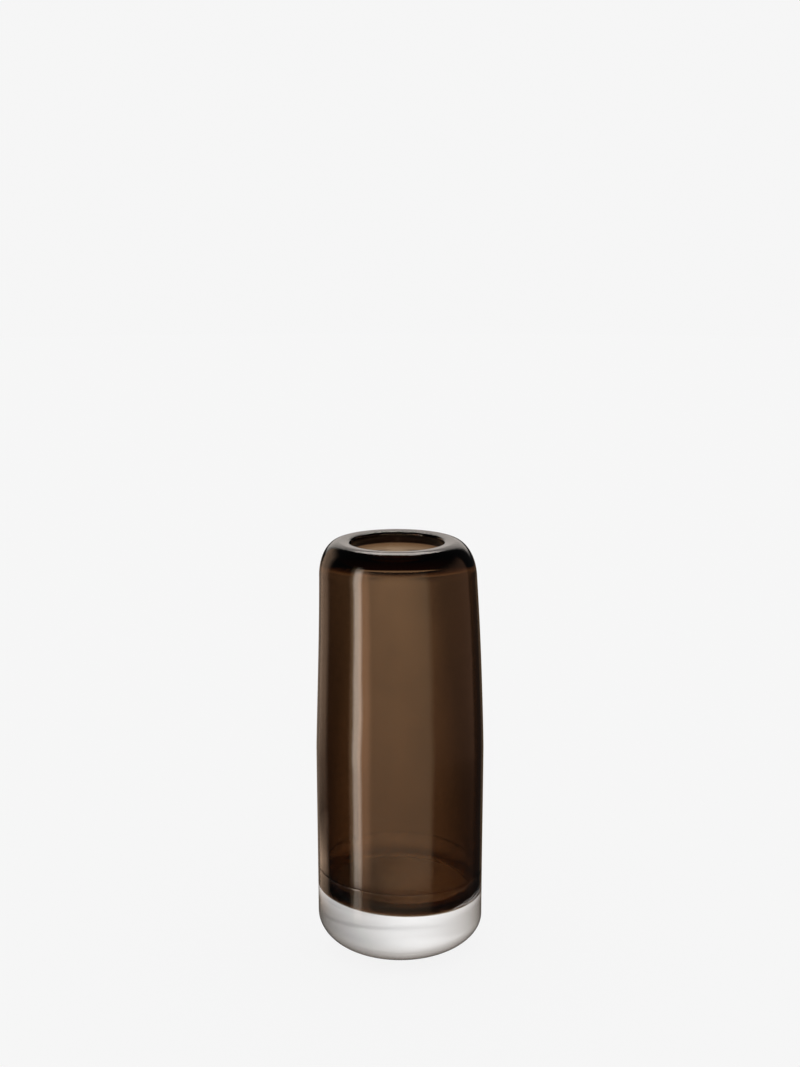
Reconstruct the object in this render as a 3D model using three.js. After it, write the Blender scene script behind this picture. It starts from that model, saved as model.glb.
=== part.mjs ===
// Blown cylinder vase: a brown glass vessel whose floor and lower wall are cased in a thick clear
// glass foot. Millimetres, +Z up, origin at the centre of the flat face that the vase rests on.
import * as THREE from 'three';

// Overall sizes
const height = 300;
const footRadius = 59.5;
const bellyRadius = 60;
const bellyHeight = 150;

// How soon the wall above the belly starts to draw in: 1 is a straight taper
const taperCurve = 1.15;

// Outside of the shoulder: a quarter ellipse from the wall up to the crest of the rim
const shoulderRadius = 55.6;
const shoulderRise = 26;
const crestRadius = 40;

// Mouth: a short upright throat with a fire-polished lip
const mouthRadius = 33.1;
const throatDepth = 9;
const lipRounding = 2.2;
const crownDrop = 0.5;

// Thickness of the brown glass: the wall is thicker towards the foot
const lowerWallThickness = 4.7;
const upperWallThickness = 3.5;
const floorThickness = 4.2;
const floorCornerRadius = 9;
const ceilingRise = 13;

// Clear foot: a flat resting face, a large rounded edge, and a lip that thins as it climbs the wall
const restingRadius = 21;
const edgeRise = 24;
const footHeight = 43.4;
const lipHeight = 17.6;
const lipRootThickness = 2.1;
const lipTipThickness = 0.6;
const heelRounding = 3;

// Clearance between the two layers of glass
const layerGap = 0.3;

// Shaped by hand: the neck leans a little, and the face between the layers is not quite level
const neckLean = 2.3;
const faceTilt = 0.045;

// Fineness of the turned surfaces
const turnSteps = 64;
const wallSteps = 10;
const curveSteps = 8;
const cornerSteps = 5;
const lipSteps = 4;

// Heights and radii that follow from the sizes above
const shoulderHeight = height - shoulderRise;
const vesselBottom = footHeight + layerGap;
const cavityFloor = vesselBottom + floorThickness;
const lipTop = footHeight + lipHeight;
const throatBottom = height - throatDepth;
const ceilingStart = throatBottom - ceilingRise;

// Outer radius of the vase at a height between the foot's rounded edge and the shoulder
function wallRadius(z) {
  if (z <= bellyHeight) {
    const share = (z - edgeRise) / (bellyHeight - edgeRise);
    return THREE.MathUtils.lerp(footRadius, bellyRadius, THREE.MathUtils.smoothstep(share, 0, 1));
  }
  const share = (z - bellyHeight) / (shoulderHeight - bellyHeight);
  return THREE.MathUtils.lerp(bellyRadius, shoulderRadius, share ** taperCurve);
}

// Radius of the face between the layers: the inside of the clear lip
function lipInsideRadius(z) {
  const climb = (z - footHeight) / lipHeight;
  return wallRadius(z) - THREE.MathUtils.lerp(lipRootThickness, lipTipThickness, climb);
}

// Radius of the cavity, whose wall thins evenly from the foot to the shoulder
function cavityRadius(z) {
  const climb = (z - cavityFloor) / (ceilingStart - cavityFloor);
  return wallRadius(z) - THREE.MathUtils.lerp(lowerWallThickness, upperWallThickness, climb);
}

// Points along a quarter ellipse, from its side to its top, or to its bottom when rise is negative
function quarterArc(centreRadius, centreHeight, reach, rise, steps) {
  const points = [];
  for (let i = 0; i <= steps; i += 1) {
    const angle = (i / steps) * (Math.PI / 2);
    points.push([centreRadius + reach * Math.cos(angle), centreHeight + rise * Math.sin(angle)]);
  }
  return points;
}

// Points up a turned wall whose radius is a function of height
function wallRun(radiusAt, bottom, top, steps) {
  const points = [];
  for (let i = 0; i <= steps; i += 1) {
    const z = THREE.MathUtils.lerp(bottom, top, i / steps);
    points.push([radiusAt(z), z]);
  }
  return points;
}

// Sideways shift of the vase's axis at a height: none up to the belly, then growing to the mouth
function leanAt(z) {
  const climb = Math.max(0, (z - bellyHeight) / (height - bellyHeight));
  return -neckLean * climb ** 3;
}

// Share of the tilt at a height: none at the resting face and above the lip, all at the fused face
function tiltShare(z) {
  const rise = THREE.MathUtils.smoothstep(z, 0, footHeight);
  const fall = THREE.MathUtils.smoothstep(z, cavityFloor, lipTop + lipHeight);
  return rise - fall;
}

// Turns a profile of [radius, height] pairs, listed up the outside, into a closed upright body
function turnedGlass(name, profile, material) {
  const outline = profile.map(([radius, z]) => new THREE.Vector2(radius, z));
  const geometry = new THREE.LatheGeometry(outline, turnSteps);
  geometry.rotateX(Math.PI / 2);
  const places = geometry.attributes.position;
  for (let i = 0; i < places.count; i += 1) {
    const x = places.getX(i);
    const z = places.getZ(i);
    places.setX(i, x + leanAt(z));
    places.setZ(i, z - faceTilt * x * tiltShare(z));
  }
  geometry.computeVertexNormals();
  const mesh = new THREE.Mesh(geometry, material);
  mesh.name = name;
  return mesh;
}

function brownVessel() {
  const heelRadius = lipInsideRadius(footHeight + heelRounding) - layerGap;
  const outsideInLip = (z) => lipInsideRadius(z) - layerGap;
  const cornerTop = cavityFloor + floorCornerRadius;
  const profile = [
    [0, vesselBottom],
    // underside and its rounded heel
    ...quarterArc(heelRadius - heelRounding, vesselBottom + heelRounding, heelRounding,
      -heelRounding, cornerSteps).reverse(),
    // wall inside the clear lip, a small ledge over the lip's edge, then the open wall
    ...wallRun(outsideInLip, vesselBottom + heelRounding, lipTop + layerGap, lipSteps).slice(1),
    ...wallRun(wallRadius, lipTop + layerGap, shoulderHeight, wallSteps),
    // shoulder up to the crest, gently crowned rim, and the lip into the throat
    ...quarterArc(crestRadius, shoulderHeight, shoulderRadius - crestRadius, shoulderRise,
      curveSteps).slice(1),
    ...quarterArc(mouthRadius + lipRounding, height - crownDrop - lipRounding, -lipRounding,
      lipRounding, cornerSteps).reverse(),
    // throat, its lower edge, and the curved ceiling down to the cavity wall
    ...quarterArc(mouthRadius + lipRounding, throatBottom + lipRounding, -lipRounding,
      -lipRounding, cornerSteps),
    ...quarterArc(mouthRadius + lipRounding, ceilingStart,
      cavityRadius(ceilingStart) - mouthRadius - lipRounding, ceilingRise, curveSteps)
      .reverse().slice(1),
    // cavity wall down to the rounded corner of the floor
    ...wallRun(cavityRadius, cornerTop, ceilingStart, wallSteps).reverse().slice(1),
    ...quarterArc(cavityRadius(cornerTop) - floorCornerRadius, cornerTop, floorCornerRadius,
      -floorCornerRadius, cornerSteps).slice(1),
    [0, cavityFloor],
  ];
  const brownGlass = new THREE.MeshStandardMaterial({
    color: 0x6b4b31, roughness: 0.03, metalness: 0, transparent: true, opacity: 0.6,
  });
  return turnedGlass('brown_glass_vessel', profile, brownGlass);
}

function clearFoot() {
  const seatCorner = lipInsideRadius(footHeight + heelRounding) - heelRounding;
  const profile = [
    [0, 0],
    // resting face and the large rounded edge
    ...quarterArc(restingRadius, edgeRise, footRadius - restingRadius, -edgeRise,
      curveSteps).reverse(),
    // outside of the foot and of the lip that climbs the vessel
    ...wallRun(wallRadius, edgeRise, lipTop, lipSteps).slice(1),
    // inside of the lip, down to the seat that the vessel's floor lies on
    ...wallRun(lipInsideRadius, footHeight + heelRounding, lipTop, lipSteps).reverse(),
    ...quarterArc(seatCorner, footHeight + heelRounding, heelRounding, -heelRounding,
      cornerSteps).slice(1),
    [0, footHeight],
  ];
  const clearGlass = new THREE.MeshStandardMaterial({
    color: 0xe8e6e2, roughness: 0.03, metalness: 0, transparent: true, opacity: 0.4,
  });
  return turnedGlass('clear_glass_foot', profile, clearGlass);
}

const vase = new THREE.Group();
vase.add(brownVessel());
vase.add(clearFoot());

export default vase;
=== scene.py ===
import math

import bmesh
import bpy
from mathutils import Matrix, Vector


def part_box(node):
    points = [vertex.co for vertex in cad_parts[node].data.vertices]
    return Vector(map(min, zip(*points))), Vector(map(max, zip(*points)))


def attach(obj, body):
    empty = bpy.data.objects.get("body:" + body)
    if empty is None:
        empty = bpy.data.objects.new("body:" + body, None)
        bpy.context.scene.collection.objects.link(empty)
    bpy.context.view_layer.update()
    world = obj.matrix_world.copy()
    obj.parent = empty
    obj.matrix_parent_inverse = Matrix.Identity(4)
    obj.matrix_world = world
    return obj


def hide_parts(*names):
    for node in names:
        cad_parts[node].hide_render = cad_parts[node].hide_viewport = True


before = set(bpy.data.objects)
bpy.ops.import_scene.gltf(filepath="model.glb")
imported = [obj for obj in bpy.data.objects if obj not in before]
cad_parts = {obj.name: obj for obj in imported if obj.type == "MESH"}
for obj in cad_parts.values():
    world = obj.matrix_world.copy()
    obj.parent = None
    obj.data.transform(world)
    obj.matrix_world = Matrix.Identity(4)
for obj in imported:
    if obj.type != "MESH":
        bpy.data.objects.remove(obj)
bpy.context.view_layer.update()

MM = 0.001

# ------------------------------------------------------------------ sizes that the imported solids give
VESSEL_LOW, VESSEL_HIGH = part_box("brown_glass_vessel")
FOOT_LOW, FOOT_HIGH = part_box("clear_glass_foot")
HEIGHT = VESSEL_HIGH.z
BELLY_RADIUS = (VESSEL_HIGH.y - VESSEL_LOW.y) / 2
FOOT_RADIUS = (FOOT_HIGH.y - FOOT_LOW.y) / 2

# ------------------------------------------------------------------ the glassmaker's other sizes
BELLY_HEIGHT = 150 * MM
TAPER_CURVE = 1.15
SHOULDER_RADIUS = 55.6 * MM
SHOULDER_RISE = 26 * MM
CREST_RADIUS = 40 * MM
MOUTH_RADIUS = 33.1 * MM
THROAT_DEPTH = 9 * MM
LIP_ROUNDING = 2.2 * MM
CROWN_DROP = 0.5 * MM
LOWER_WALL = 4.7 * MM
UPPER_WALL = 3.5 * MM
FLOOR_THICKNESS = 4.2 * MM
CAVITY_ROUNDING = 9 * MM
CEILING_RISE = 13 * MM
RESTING_RADIUS = 21 * MM
EDGE_RISE = 24 * MM
FOOT_HEIGHT = 43.4 * MM
LIP_HEIGHT = 17.6 * MM
LIP_ROOT = 2.1 * MM
LIP_TIP = 0.02 * MM
LIP_FEATHER = 1.6
HEEL_ROUNDING = 3 * MM
NECK_LEAN = 2.3 * MM
FACE_TILT = 0.045
FUSED_OVERLAP = 0.02 * MM

# Air caught in the lip on the right, first the drawn-out cords and then the small seeds. For each:
# turn in degrees and height in mm of its start, the same of its end, then its depth under the
# surface and its half width in mm
AIR_POCKETS = [
    (-52.0, 45.5, -30.0, 48.5, 0.70, 0.45),
    (-44.0, 47.0, -24.0, 50.2, 0.50, 0.40),
    (-38.0, 45.0, -18.0, 48.8, 0.90, 0.60),
    (-33.0, 48.0, -15.0, 51.6, 0.45, 0.42),
    (-28.0, 46.2, -10.0, 49.6, 0.80, 0.55),
    (-22.0, 50.0, -8.0, 52.4, 0.40, 0.35),
    (-20.0, 47.2, -6.0, 50.4, 0.70, 0.45),
    (-46.0, 48.6, -45.2, 48.6, 0.60, 0.35),
    (-35.5, 46.8, -34.6, 46.9, 0.90, 0.45),
    (-24.0, 47.2, -23.0, 47.4, 0.80, 0.40),
    (-13.0, 51.2, -12.2, 51.4, 0.40, 0.35),
    (-8.0, 49.0, -7.2, 49.0, 0.60, 0.40),
]
POCKET_STEPS = 14
POCKET_SIDES = 10
POCKET_FLATNESS = 0.4
POCKET_WAVE = 0.03       # mm of rise and fall for each degree of turn
POCKET_RUN = 20 * MM     # length round the lip over which a pocket's rise sets its slant

SHOULDER_HEIGHT = HEIGHT - SHOULDER_RISE
THROAT_BOTTOM = HEIGHT - THROAT_DEPTH
CEILING_START = THROAT_BOTTOM - CEILING_RISE
CAVITY_FLOOR = FOOT_HEIGHT + FLOOR_THICKNESS
LIP_TOP = FOOT_HEIGHT + LIP_HEIGHT
HEEL_TOP = FOOT_HEIGHT + HEEL_ROUNDING

# ------------------------------------------------------------------ fineness of the turned surfaces
TURN_STEPS = 192
WALL_STEPS = 60
CURVE_STEPS = 28
CORNER_STEPS = 12


def between(a, b, share):
    return a + (b - a) * share


def ease(low, high, value):
    share = min(max((value - low) / (high - low), 0.0), 1.0)
    return share * share * (3 - 2 * share)


# ------------------------------------------------------------------ the turned outline
def wall_radius(z):
    if z <= BELLY_HEIGHT:
        return between(FOOT_RADIUS, BELLY_RADIUS, ease(EDGE_RISE, BELLY_HEIGHT, z))
    share = (z - BELLY_HEIGHT) / (SHOULDER_HEIGHT - BELLY_HEIGHT)
    return between(BELLY_RADIUS, SHOULDER_RADIUS, share ** TAPER_CURVE)


def fused_radius(z):
    """The face between the layers: the clear lip over it thins smoothly as it climbs."""
    climb = min(max((z - FOOT_HEIGHT) / LIP_HEIGHT, 0.0), 1.0)
    return wall_radius(z) - between(LIP_TIP, LIP_ROOT, (1 - climb) ** LIP_FEATHER)


def cavity_radius(z):
    climb = (z - CAVITY_FLOOR) / (CEILING_START - CAVITY_FLOOR)
    return wall_radius(z) - between(LOWER_WALL, UPPER_WALL, climb)


def quarter_arc(centre_radius, centre_height, reach, rise, steps):
    """Points along a quarter ellipse, from its side to its top, or to its bottom."""
    angles = [i / steps * math.pi / 2 for i in range(steps + 1)]
    return [(centre_radius + reach * math.cos(a), centre_height + rise * math.sin(a)) for a in angles]


def wall_run(radius_at, bottom, top, steps):
    heights = [between(bottom, top, i / steps) for i in range(steps + 1)]
    return [(radius_at(z), z) for z in heights]


def shaped_by_hand(x, y, z):
    """Leans the neck a little and tilts the fused face a little, as blown work does."""
    climb = max(0.0, (z - BELLY_HEIGHT) / (HEIGHT - BELLY_HEIGHT))
    tilt = ease(0, FOOT_HEIGHT, z) - ease(CAVITY_FLOOR, LIP_TOP + LIP_HEIGHT, z)
    return x - NECK_LEAN * climb ** 3, y, z - FACE_TILT * x * tilt


def air_pocket(body, start_turn, start_height, end_turn, end_height, depth, half_width):
    """A closed pocket of air just under the surface, drawn out from its start to its end."""
    rings = []
    for i in range(POCKET_STEPS + 1):
        share = i / POCKET_STEPS
        turn = math.radians(between(start_turn, end_turn, share))
        wave = POCKET_WAVE * (end_turn - start_turn) * math.sin(math.tau * share)
        z = (between(start_height, end_height, share) + wave) * MM
        out = Vector((math.cos(turn), math.sin(turn), 0))
        place = out * (wall_radius(z) - depth * MM) + Vector((0, 0, z))
        along = Vector((-out.y, out.x, (end_height - start_height) * MM / POCKET_RUN)).normalized()
        swell = half_width * MM * math.sqrt(1 - (2 * share - 1) ** 2)
        across = along.cross(out).normalized() * swell
        outward = out * swell * POCKET_FLATNESS      # the half thickness, towards the surface
        sides = POCKET_SIDES if 0 < i < POCKET_STEPS else 1
        ring = []
        for k in range(sides):
            a = k / POCKET_SIDES * math.tau
            corner = place + across * math.sin(a) + outward * math.cos(a)
            ring.append(body.verts.new(shaped_by_hand(*corner)))
        rings.append(ring)
    faces = []
    for near, far in zip(rings, rings[1:]):
        for i in range(POCKET_SIDES):
            j = i + 1
            corners = [near[i % len(near)], near[j % len(near)], far[j % len(far)], far[i % len(far)]]
            faces.append(body.faces.new(list(dict.fromkeys(corners))))
            faces[-1].smooth = True
    bmesh.ops.recalc_face_normals(body, faces=faces)
    bmesh.ops.reverse_faces(body, faces=faces)


def turned_glass(name, profile, slot_at=None, pockets=()):
    """A closed turned body from (radius, height) points listed up its outside."""
    body = bmesh.new()
    rings = []
    for radius, z in profile:
        turn = [i / TURN_STEPS * math.tau for i in range(TURN_STEPS if radius > 0 else 1)]
        rings.append([body.verts.new(shaped_by_hand(radius * math.cos(a), radius * math.sin(a), z))
                      for a in turn])
    for row, (below, above) in enumerate(zip(rings, rings[1:])):
        for i in range(TURN_STEPS):
            j = i + 1
            corners = [below[i % len(below)], below[j % len(below)],
                       above[j % len(above)], above[i % len(above)]]
            face = body.faces.new(list(dict.fromkeys(corners)))
            face.smooth = True
            face.material_index = slot_at(row) if slot_at else 0
    bmesh.ops.recalc_face_normals(body, faces=body.faces)
    for pocket in pockets:
        air_pocket(body, *pocket)
    mesh = bpy.data.meshes.new(name)
    body.to_mesh(mesh)
    body.free()
    piece = bpy.data.objects.new(name, mesh)
    bpy.context.scene.collection.objects.link(piece)
    return piece


def brown_outline():
    heel = fused_radius(HEEL_TOP) - HEEL_ROUNDING
    rounding_top = CAVITY_FLOOR + CAVITY_ROUNDING
    lip_radius = MOUTH_RADIUS + LIP_ROUNDING
    return [
        (0, FOOT_HEIGHT),
        *quarter_arc(heel, HEEL_TOP, HEEL_ROUNDING, -HEEL_ROUNDING, CORNER_STEPS)[::-1],
        *wall_run(fused_radius, HEEL_TOP, LIP_TOP, CURVE_STEPS)[1:],
        *wall_run(wall_radius, LIP_TOP, SHOULDER_HEIGHT, WALL_STEPS)[1:],
        *quarter_arc(CREST_RADIUS, SHOULDER_HEIGHT, SHOULDER_RADIUS - CREST_RADIUS, SHOULDER_RISE,
                     CURVE_STEPS)[1:],
        *quarter_arc(lip_radius, HEIGHT - CROWN_DROP - LIP_ROUNDING, -LIP_ROUNDING, LIP_ROUNDING,
                     CORNER_STEPS)[::-1],
        *quarter_arc(lip_radius, THROAT_BOTTOM + LIP_ROUNDING, -LIP_ROUNDING, -LIP_ROUNDING,
                     CORNER_STEPS),
        *quarter_arc(lip_radius, CEILING_START, cavity_radius(CEILING_START) - lip_radius,
                     CEILING_RISE, CURVE_STEPS)[::-1][1:],
        *wall_run(cavity_radius, rounding_top, CEILING_START, WALL_STEPS)[::-1][1:],
        *quarter_arc(cavity_radius(rounding_top) - CAVITY_ROUNDING, rounding_top, CAVITY_ROUNDING,
                     -CAVITY_ROUNDING, CURVE_STEPS)[1:],
        (0, CAVITY_FLOOR),
    ]


def clear_outline():
    seat = fused_radius(HEEL_TOP) - HEEL_ROUNDING
    return [
        (0, 0),
        *quarter_arc(RESTING_RADIUS, EDGE_RISE, FOOT_RADIUS - RESTING_RADIUS, -EDGE_RISE,
                     CURVE_STEPS)[::-1],
        *wall_run(wall_radius, EDGE_RISE, LIP_TOP, CURVE_STEPS)[1:],
        *wall_run(lambda z: fused_radius(z) - FUSED_OVERLAP, HEEL_TOP, LIP_TOP, CURVE_STEPS)[::-1],
        *quarter_arc(seat, HEEL_TOP + FUSED_OVERLAP, HEEL_ROUNDING - FUSED_OVERLAP, -HEEL_ROUNDING,
                     CORNER_STEPS)[1:],
        (0, FOOT_HEIGHT + FUSED_OVERLAP),
    ]


# ------------------------------------------------------------------ materials
def new_material(name):
    material = bpy.data.materials.new(name)
    material.use_nodes = True
    tree = material.node_tree
    return material, tree, tree.nodes["Principled BSDF"], tree.nodes["Material Output"]


def polished_glass(glass):
    glass.inputs["Base Color"].default_value = (1, 1, 1, 1)
    glass.inputs["Roughness"].default_value = 0.0
    glass.inputs["IOR"].default_value = 1.5
    glass.inputs["Transmission Weight"].default_value = 1.0


def value_node(tree, operation, first, second, clamp=False):
    node = tree.nodes.new("ShaderNodeMath")
    node.operation = operation
    node.use_clamp = clamp
    for socket, value in zip(node.inputs, (first, second)):
        if isinstance(value, (int, float)):
            socket.default_value = value
        else:
            tree.links.new(value, socket)
    return node.outputs["Value"]


def ramp_mask(tree, value, low, high):
    """0 where the value is below low, 1 where it is above high, and smooth between."""
    mask = tree.nodes.new("ShaderNodeMapRange")
    mask.interpolation_type = "SMOOTHSTEP"
    mask.inputs["From Min"].default_value = low
    mask.inputs["From Max"].default_value = high
    tree.links.new(value, mask.inputs["Value"])
    return mask.outputs["Result"]


def own_place(tree):
    """The place on the vase, split into left to right, front to back and height, in metres."""
    place = tree.nodes.new("ShaderNodeTexCoord")
    split = tree.nodes.new("ShaderNodeSeparateXYZ")
    tree.links.new(place.outputs["Object"], split.inputs["Vector"])
    return split.outputs["X"], split.outputs["Y"], split.outputs["Z"]


def mixed(tree, share, first, second):
    mix = tree.nodes.new("ShaderNodeMixShader")
    if isinstance(share, float):
        mix.inputs["Fac"].default_value = share
    else:
        tree.links.new(share, mix.inputs["Fac"])
    tree.links.new(first, mix.inputs[1])
    tree.links.new(second, mix.inputs[2])
    return mix.outputs["Shader"]


SMUDGE_SCALE = 70.0
TONE_FROM, TONE_TO = 0.35, 0.6          # span of the noise over which the tone goes from deepest to full
SMUDGE_FROM, SMUDGE_TO = 0.5, 0.72      # span of the noise over which a smudge grows


def blown_surface():
    """Slow changes of tone, faint smudges, and the gentle ripple that blowing leaves."""
    group = bpy.data.node_groups.new("blown_surface", "ShaderNodeTree")
    for name in ("Ripple Scale", "Tone Scale", "Deepest Tone", "Strongest Smudge"):
        group.interface.new_socket(name, in_out="INPUT", socket_type="NodeSocketFloat")
    for name in ("Tone", "Smudge", "Ripple"):
        group.interface.new_socket(name, in_out="OUTPUT", socket_type="NodeSocketFloat")
    given = group.nodes.new("NodeGroupInput")
    result = group.nodes.new("NodeGroupOutput")
    place = group.nodes.new("ShaderNodeTexCoord")

    def noise(detail):
        node = group.nodes.new("ShaderNodeTexNoise")
        node.inputs["Detail"].default_value = detail
        group.links.new(place.outputs["Object"], node.inputs["Vector"])
        return node

    def spread(value, low, high):
        node = group.nodes.new("ShaderNodeMapRange")
        node.inputs["From Min"].default_value = low
        node.inputs["From Max"].default_value = high
        group.links.new(value, node.inputs["Value"])
        return node

    ripple = noise(1.0)
    group.links.new(given.outputs["Ripple Scale"], ripple.inputs["Scale"])
    group.links.new(ripple.outputs["Fac"], result.inputs["Ripple"])
    drift = noise(2.0)
    group.links.new(given.outputs["Tone Scale"], drift.inputs["Scale"])
    tone = spread(drift.outputs["Fac"], TONE_FROM, TONE_TO)
    group.links.new(given.outputs["Deepest Tone"], tone.inputs["To Min"])
    group.links.new(tone.outputs["Result"], result.inputs["Tone"])
    wiped = noise(5.0)
    wiped.inputs["Scale"].default_value = SMUDGE_SCALE
    smudge = spread(wiped.outputs["Fac"], SMUDGE_FROM, SMUDGE_TO)
    group.links.new(given.outputs["Strongest Smudge"], smudge.inputs["To Max"])
    group.links.new(smudge.outputs["Result"], result.inputs["Smudge"])
    return group


BLOWN_SURFACE = blown_surface()


def hand_blown(tree, glass, ripple_scale, ripple_height, tone_scale, deepest_tone, strongest_smudge):
    """Gives a glass shader the tone, smudges and ripple of hand-blown work."""
    surface = tree.nodes.new("ShaderNodeGroup")
    surface.node_tree = BLOWN_SURFACE
    surface.inputs["Ripple Scale"].default_value = ripple_scale
    surface.inputs["Tone Scale"].default_value = tone_scale
    surface.inputs["Deepest Tone"].default_value = deepest_tone
    surface.inputs["Strongest Smudge"].default_value = strongest_smudge
    ripple = tree.nodes.new("ShaderNodeBump")
    ripple.inputs["Distance"].default_value = ripple_height
    tree.links.new(surface.outputs["Ripple"], ripple.inputs["Height"])
    tree.links.new(ripple.outputs["Normal"], glass.inputs["Normal"])
    tree.links.new(surface.outputs["Smudge"], glass.inputs["Roughness"])
    tree.links.new(surface.outputs["Tone"], glass.inputs["Base Color"])
    return surface.outputs["Tone"]


BROWN_TINT = (0.50, 0.33, 0.13, 1)
BROWN_DENSITY = 580
OUTER_WALL_FROM, OUTER_WALL_TO = FOOT_RADIUS - 3.9 * MM, FOOT_RADIUS - 3.1 * MM
FLOOR_FROM, FLOOR_TO = FOOT_HEIGHT + 3.4 * MM, FOOT_HEIGHT + 3.8 * MM
LIP_FADE = 1.0 * MM


def brown_glass():
    """Smoky brown glass. It mirrors light above the lip and in the cavity, but not where it is
    fused to the clear glass, nor on the lowest part of the tilted cavity floor."""
    material, tree, glass, output = new_material("smoky_brown_glass")
    polished_glass(glass)
    x, y, z = own_place(tree)
    out_from_axis = value_node(tree, "POWER", value_node(
        tree, "ADD", value_node(tree, "MULTIPLY", x, x), value_node(tree, "MULTIPLY", y, y)), 0.5)
    outer_wall = ramp_mask(tree, out_from_axis, OUTER_WALL_FROM, OUTER_WALL_TO)
    above_floor = ramp_mask(tree, z, FLOOR_FROM, FLOOR_TO)
    cavity = value_node(tree, "MULTIPLY", value_node(tree, "SUBTRACT", 1.0, outer_wall), above_floor)
    above_lip = ramp_mask(tree, z, LIP_TOP - LIP_FADE, LIP_TOP)
    shine = value_node(tree, "MAXIMUM", above_lip, cavity)
    tree.links.new(shine, glass.inputs["Specular Tint"])
    hand_blown(tree, glass, ripple_scale=16.0, ripple_height=0.9 * MM, tone_scale=22.0,
               deepest_tone=0.9, strongest_smudge=0.02)
    depth = tree.nodes.new("ShaderNodeVolumeAbsorption")
    depth.inputs["Color"].default_value = BROWN_TINT
    depth.inputs["Density"].default_value = BROWN_DENSITY
    tree.links.new(depth.outputs["Volume"], output.inputs["Volume"])
    return material


SOLID_FROM, SOLID_TO = 36 * MM, 52 * MM      # heights between which the painted slant shade of the solid foot fades
SLANT_PAINTED_SHADE = 0.95
GREY_STRENGTHS = (1.78, 1.95, 2.1)           # red, green and blue: a slightly warm grey, for the tone and the painted slant shade alike


def foot_glass(tree, glass):
    """Hand-blown clear glass, with painted shade: a grey that deepens where the solid foot is seen at a
    slant.
    """
    polished_glass(glass)
    tone = hand_blown(tree, glass, ripple_scale=20.0, ripple_height=0.6 * MM, tone_scale=30.0,
                      deepest_tone=0.96, strongest_smudge=0.015)
    x, y, z = own_place(tree)
    solid = value_node(tree, "SUBTRACT", 1.0, ramp_mask(tree, z, SOLID_FROM, SOLID_TO))
    side = tree.nodes.new("ShaderNodeNewGeometry")
    outside = value_node(tree, "SUBTRACT", 1.0, side.outputs["Backfacing"])
    # painted shade: the colour is greyed where the foot's outside is seen at a slant, low on the foot
    slant = tree.nodes.new("ShaderNodeLayerWeight")
    slant.inputs["Blend"].default_value = 0.5
    place_share = value_node(tree, "MULTIPLY", solid, outside)
    grey = value_node(tree, "MULTIPLY", slant.outputs["Facing"], place_share)
    kept = value_node(tree, "SUBTRACT", 1.0, value_node(tree, "MULTIPLY", grey, SLANT_PAINTED_SHADE))
    clear = value_node(tree, "MULTIPLY", tone, kept)
    tint = tree.nodes.new("ShaderNodeCombineColor")
    for channel, strength in zip(tint.inputs, GREY_STRENGTHS):
        tree.links.new(value_node(tree, "POWER", clear, strength), channel)
    tree.links.new(tint.outputs["Color"], glass.inputs["Base Color"])


def clear_glass():
    material, tree, glass, output = new_material("clear_foot_glass")
    foot_glass(tree, glass)
    return material


# painted shade on the underside's colour: where it darkens on the left and on the far right, and its
# darkest and palest levels
UNDERSIDE_LEFT_FROM, UNDERSIDE_LEFT_TO = -36 * MM, 10 * MM
UNDERSIDE_RIGHT_FROM, UNDERSIDE_RIGHT_TO = 42 * MM, 95 * MM
UNDERSIDE_DARKEST, UNDERSIDE_PALEST = 0.16, 0.97
UNDERSIDE_MATT = 0.85
UNDERSIDE_GLOW = 0.7


def ground_underside_painted_shade():
    """Polished from outside; from inside the foot it scatters the light of the table. Its colour
    is painted shade: darker towards the left and the far right."""
    material, tree, glass, output = new_material("ground_underside_painted_shade")
    foot_glass(tree, glass)
    x, y, z = own_place(tree)
    left = ramp_mask(tree, x, UNDERSIDE_LEFT_FROM, UNDERSIDE_LEFT_TO)
    right = value_node(tree, "SUBTRACT", 1.0,
                       ramp_mask(tree, x, UNDERSIDE_RIGHT_FROM, UNDERSIDE_RIGHT_TO))
    # painted shade: the underside's colour goes from darkest to palest across the foot
    underside_painted_shade = tree.nodes.new("ShaderNodeMapRange")
    underside_painted_shade.inputs["To Min"].default_value = UNDERSIDE_DARKEST
    underside_painted_shade.inputs["To Max"].default_value = UNDERSIDE_PALEST
    tree.links.new(value_node(tree, "MULTIPLY", left, right), underside_painted_shade.inputs["Value"])
    matt = tree.nodes.new("ShaderNodeBsdfDiffuse")
    glow = tree.nodes.new("ShaderNodeBsdfTranslucent")
    for shader in (matt, glow):
        tree.links.new(underside_painted_shade.outputs["Result"], shader.inputs["Color"])
    scatter = mixed(tree, UNDERSIDE_GLOW, matt.outputs["BSDF"], glow.outputs["BSDF"])
    inner = mixed(tree, UNDERSIDE_MATT, glass.outputs["BSDF"], scatter)
    side = tree.nodes.new("ShaderNodeNewGeometry")
    both = mixed(tree, side.outputs["Backfacing"], glass.outputs["BSDF"], inner)
    tree.links.new(both, output.inputs["Surface"])
    return material


def fused_wall():
    """Between lip and wall: nothing is reflected where the two glasses are fused."""
    material, tree, glass, output = new_material("fused_face_behind_lip")
    polished_glass(glass)
    glass.inputs["Specular Tint"].default_value = (0, 0, 0, 1)
    return material


def fused_face():
    """Seen from inside the foot the fused face mirrors the bright clear glass below it."""
    material, tree, glass, output = new_material("fused_face_under_floor")
    polished_glass(glass)
    glass.inputs["Specular Tint"].default_value = (0, 0, 0, 1)
    mirror = tree.nodes.new("ShaderNodeBsdfPrincipled")
    mirror.inputs["Base Color"].default_value = (0.96, 0.96, 0.96, 1)
    mirror.inputs["Metallic"].default_value = 1.0
    mirror.inputs["Roughness"].default_value = 0.0
    side = tree.nodes.new("ShaderNodeNewGeometry")
    both = mixed(tree, side.outputs["Backfacing"], glass.outputs["BSDF"], mirror.outputs["BSDF"])
    tree.links.new(both, output.inputs["Surface"])
    return material


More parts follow.
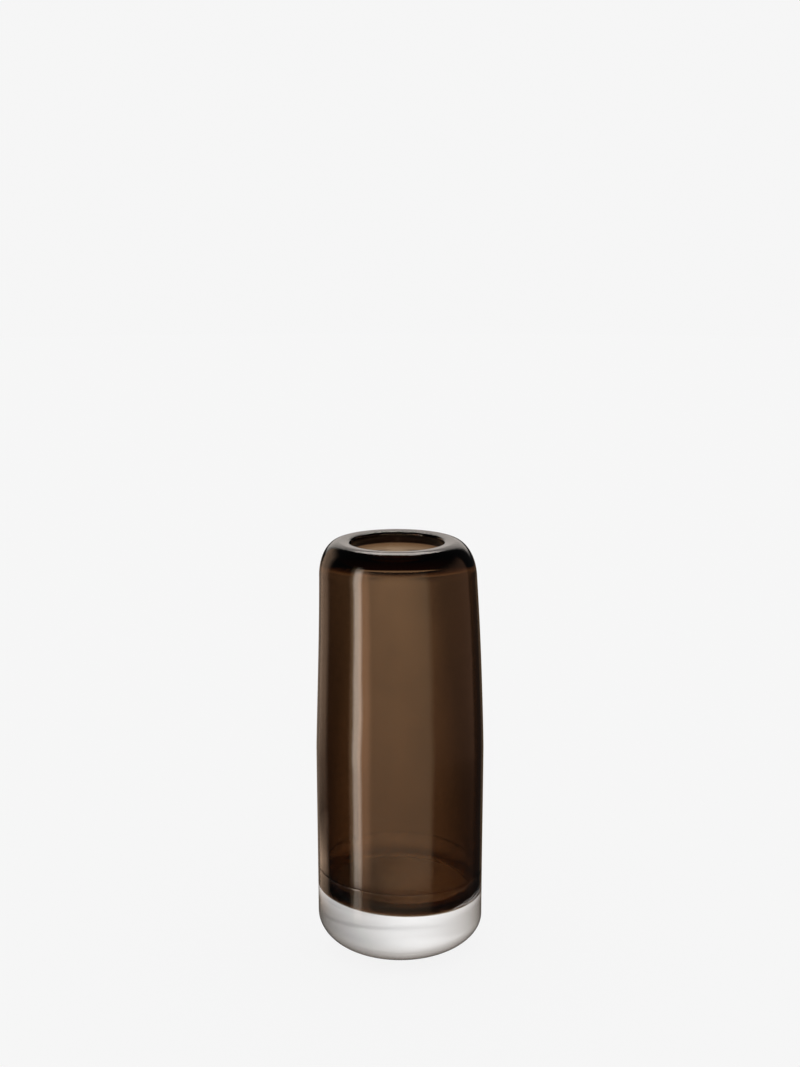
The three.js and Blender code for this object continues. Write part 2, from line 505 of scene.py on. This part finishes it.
# ------------------------------------------------------------------ the vase
vessel = turned_glass("brown_vessel_glass", brown_outline())
vessel.data.materials.append(brown_glass())
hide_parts("brown_glass_vessel")
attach(vessel, "root")

foot_outline = clear_outline()
UNDERSIDE_ROWS = CURVE_STEPS + 1
LIP_EDGE_ROW = UNDERSIDE_ROWS + CURVE_STEPS
FLAT_FACE_ROW = len(foot_outline) - 1 - CORNER_STEPS // 2


def foot_slot(row):
    """Slots: 0 outside, 1 underside, 2 the fused face behind the lip, 3 the one under the floor."""
    if row < UNDERSIDE_ROWS:
        return 1
    if row < LIP_EDGE_ROW:
        return 0
    return 2 if row < FLAT_FACE_ROW else 3


foot = turned_glass("clear_foot_glass", foot_outline, foot_slot, AIR_POCKETS)
for material in (clear_glass(), ground_underside_painted_shade(), fused_wall(), fused_face()):
    foot.data.materials.append(material)
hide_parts("clear_glass_foot")
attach(foot, "root")

# ------------------------------------------------------------------ camera
CAMERA_DISTANCE = 1.107
CAMERA_HEIGHT = 0.526
CAMERA_PITCH = math.radians(11.3)
CAMERA_LENS = 54.4

camera_data = bpy.data.cameras.new("camera")
camera = bpy.data.objects.new("camera", camera_data)
bpy.context.scene.collection.objects.link(camera)
camera.location = (0, -CAMERA_DISTANCE, CAMERA_HEIGHT)
camera.rotation_euler = (math.pi / 2 - CAMERA_PITCH, 0, 0)
camera_data.lens = CAMERA_LENS
bpy.context.scene.camera = camera
bpy.context.scene.view_settings.view_transform = "Standard"
bpy.context.view_layer.update()

# ------------------------------------------------------------------ studio
PALE = 0.92              # strength of the backdrop
UNLIT = 0.03             # what mirrored rays see beyond the light ring
FLOOR_HEIGHT = -0.05 * MM
FLOOR_REACH = 6.0
FLOOR_SIDES = 96
FLOOR_PAINT = 0.06
FLOOR_GLOW = 0.868
SCATTER_LIFT = 0.56      # extra glow for light that is scattered on its way to the vase
# painted shade on the floor, seen only through the glass: how much dimmer, and over what reach, on the
# right and on the left
RIGHT_DIM, RIGHT_DIM_FROM, RIGHT_DIM_TO = 0.62, 5 * MM, 110 * MM
LEFT_DIM, LEFT_DIM_FROM, LEFT_DIM_TO = 0.5, 30 * MM, 130 * MM


def mesh_piece(name, corners, faces):
    mesh = bpy.data.meshes.new(name)
    mesh.from_pydata(corners, [], faces)
    piece = bpy.data.objects.new(name, mesh)
    bpy.context.scene.collection.objects.link(piece)
    return piece


def pale_floor():
    """A plain pale table. Seen through the glass it carries painted shade, dimmer on both sides of the
    vase.
    """
    corners = []
    for i in range(FLOOR_SIDES):
        a = i / FLOOR_SIDES * math.tau
        corners.append((FLOOR_REACH * math.cos(a), FLOOR_REACH * math.sin(a), FLOOR_HEIGHT))
    piece = mesh_piece("studio_floor", corners, [range(FLOOR_SIDES)])
    material, tree, paint, output = new_material("pale_lit_table")
    paint.inputs["Base Color"].default_value = (FLOOR_PAINT, FLOOR_PAINT, FLOOR_PAINT, 1)
    paint.inputs["Roughness"].default_value = 1.0
    paint.inputs["Specular IOR Level"].default_value = 0.0
    paint.inputs["Emission Color"].default_value = (1, 1, 1, 1)
    path = tree.nodes.new("ShaderNodeLightPath")
    x, y, z = own_place(tree)
    to_left = value_node(tree, "MULTIPLY", x, -1.0)
    right = value_node(tree, "MULTIPLY", ramp_mask(tree, x, RIGHT_DIM_FROM, RIGHT_DIM_TO), RIGHT_DIM)
    left = value_node(tree, "MULTIPLY", ramp_mask(tree, to_left, LEFT_DIM_FROM, LEFT_DIM_TO), LEFT_DIM)
    # painted shade: the floor glows less to transmitted rays on both sides of the vase
    dimmed = value_node(tree, "MULTIPLY", value_node(tree, "ADD", left, right),
                        path.outputs["Is Transmission Ray"])
    lifted = value_node(tree, "MULTIPLY", path.outputs["Is Diffuse Ray"], SCATTER_LIFT)
    strength = value_node(tree, "SUBTRACT", value_node(tree, "ADD", FLOOR_GLOW, lifted), dimmed)
    tree.links.new(strength, paint.inputs["Emission Strength"])
    piece.data.materials.append(material)
    piece.visible_glossy = False


def studio_world():
    """A pale backdrop all round, which mirrored rays don't see: they see the light ring instead."""
    world = bpy.data.worlds.new("studio")
    bpy.context.scene.world = world
    world.use_nodes = True
    tree = world.node_tree
    backdrop = tree.nodes["Background"]
    backdrop.inputs["Strength"].default_value = PALE
    backdrop.inputs["Color"].default_value = (1, 1, 1, 1)
    unlit = tree.nodes.new("ShaderNodeBackground")
    unlit.inputs["Strength"].default_value = UNLIT
    path = tree.nodes.new("ShaderNodeLightPath")
    mirrored = value_node(tree, "SUBTRACT", path.outputs["Is Reflection Ray"],
                          path.outputs["Is Diffuse Ray"], clamp=True)
    both = mixed(tree, mirrored, backdrop.outputs["Background"], unlit.outputs["Background"])
    tree.links.new(both, tree.nodes["World Output"].inputs["Surface"])


RING_RADIUS = 3.0
RING_REACH = 9.0
RING_TURN = 1440
RING_ROWS = 120

# Lights round the vase. Turns are degrees to the right of the camera as seen from the vase, and
# climbs are degrees above the middle of the vase. Each light has the turns where it starts and
# ends, how many degrees each end takes to fade, its colour times its strength, and the share of
# its strength that is left at its foot
SOFT_LIGHTS = [
    (-66.0, -54.0, 6.0, 6.5, (5.8, 5.0, 4.2), 0.75),        # tall strip light
    (-58.0, -42.0, 3.0, 12.0, (2.0, 1.0, 0.55), 0.7),        # its warm reflector
    (-72.0, 44.0, 6.0, 10.0, (1.05, 0.75, 0.48), 0.95),    # broad softbox
    (44.5, 122.0, 3.5, 8.0, (0.3, 0.16, 0.1), 0.2),          # weak fill
    (-150.0, -120.0, 8.0, 16.0, (0.62, 0.42, 0.29), 0.25),  # strip behind on the left
]


LEAST_LIGHT = Vector((0.02, 0.02, 0.02))
LOW_CARD = Vector((0.95, 0.66, 0.46))
BEHIND_ON_LEFT = Vector((0.26, 0.19, 0.14))
BEHIND_ON_RIGHT = Vector((0.12, 0.075, 0.04))
BACKDROP = Vector((0.95, 0.87, 0.8))
OVERHEAD_STRENGTH = 6.0


def side_lights(turn, climb):
    """The soft lights, a small card standing low behind on the left, and the dim room behind."""
    total = LEAST_LIGHT.copy()
    upright = ease(-26.3, -25.2, climb) * (1 - ease(16, 34, climb))
    height_share = ease(-23, -13, climb)
    for start, end, fade_in, fade_out, colour, low_share in SOFT_LIGHTS:
        share = ease(start - fade_in / 2, start + fade_in / 2, turn)
        share -= ease(end - fade_out / 2, end + fade_out / 2, turn)
        total += upright * share * between(low_share, 1.0, height_share) * Vector(colour)
    low_card = ease(-154, -146, turn) * (1 - ease(-126, -112, turn)) * (1 - ease(-24, -22.3, climb))
    total += upright * low_card * LOW_CARD
    low_behind = ease(144, 156, abs(turn)) * ease(-27, -25, climb) * (1 - ease(-7, -4, climb))
    return total + low_behind * (BEHIND_ON_LEFT if turn < 0 else BEHIND_ON_RIGHT)


def backdrop_light(turn, climb):
    """The pale backdrop behind the vase and a brighter light high above it, for the rim."""
    behind = ease(146, 160, abs(turn))
    low = ease(3.5, 7.5, climb) * (1 - ease(40, 50, climb))
    high = ease(38, 50, climb) * (1 - ease(66, 71, climb)) * OVERHEAD_STRENGTH
    return behind * (low + high) * BACKDROP


def light_ring():
    """All these lights on a wide upright ring round the vase, which only mirrored rays see."""
    corners, faces, glow = [], [], []
    for row in range(RING_ROWS + 1):
        z = between(-RING_REACH, RING_REACH, row / RING_ROWS)
        climb = math.degrees(math.atan2(z, RING_RADIUS))
        for i in range(RING_TURN):
            turn = i / RING_TURN * 360 - 180
            a = math.radians(turn)
            corners.append((RING_RADIUS * math.sin(a), -RING_RADIUS * math.cos(a), z + HEIGHT / 2))
            light = side_lights(turn, climb) + backdrop_light(turn, climb)
            glow.extend((*light, 1.0))
    for row in range(RING_ROWS):
        for i in range(RING_TURN):
            j = (i + 1) % RING_TURN
            low, high = row * RING_TURN, (row + 1) * RING_TURN
            faces.append((low + i, low + j, high + j, high + i))
    ring = mesh_piece("light_ring", corners, faces)
    layer = ring.data.attributes.new("glow", "FLOAT_COLOR", "POINT")
    layer.data.foreach_set("color", glow)
    material = bpy.data.materials.new("soft_light_ring")
    material.use_nodes = True
    tree = material.node_tree
    tree.nodes.clear()
    level = tree.nodes.new("ShaderNodeAttribute")
    level.attribute_name = "glow"
    lamp = tree.nodes.new("ShaderNodeEmission")
    output = tree.nodes.new("ShaderNodeOutputMaterial")
    tree.links.new(level.outputs["Color"], lamp.inputs["Color"])
    tree.links.new(lamp.outputs["Emission"], output.inputs["Surface"])
    ring.data.materials.append(material)
    ring.visible_camera = False
    ring.visible_diffuse = False
    ring.visible_transmission = False
    ring.visible_shadow = False
    ring.visible_volume_scatter = False


pale_floor()
studio_world()
light_ring()
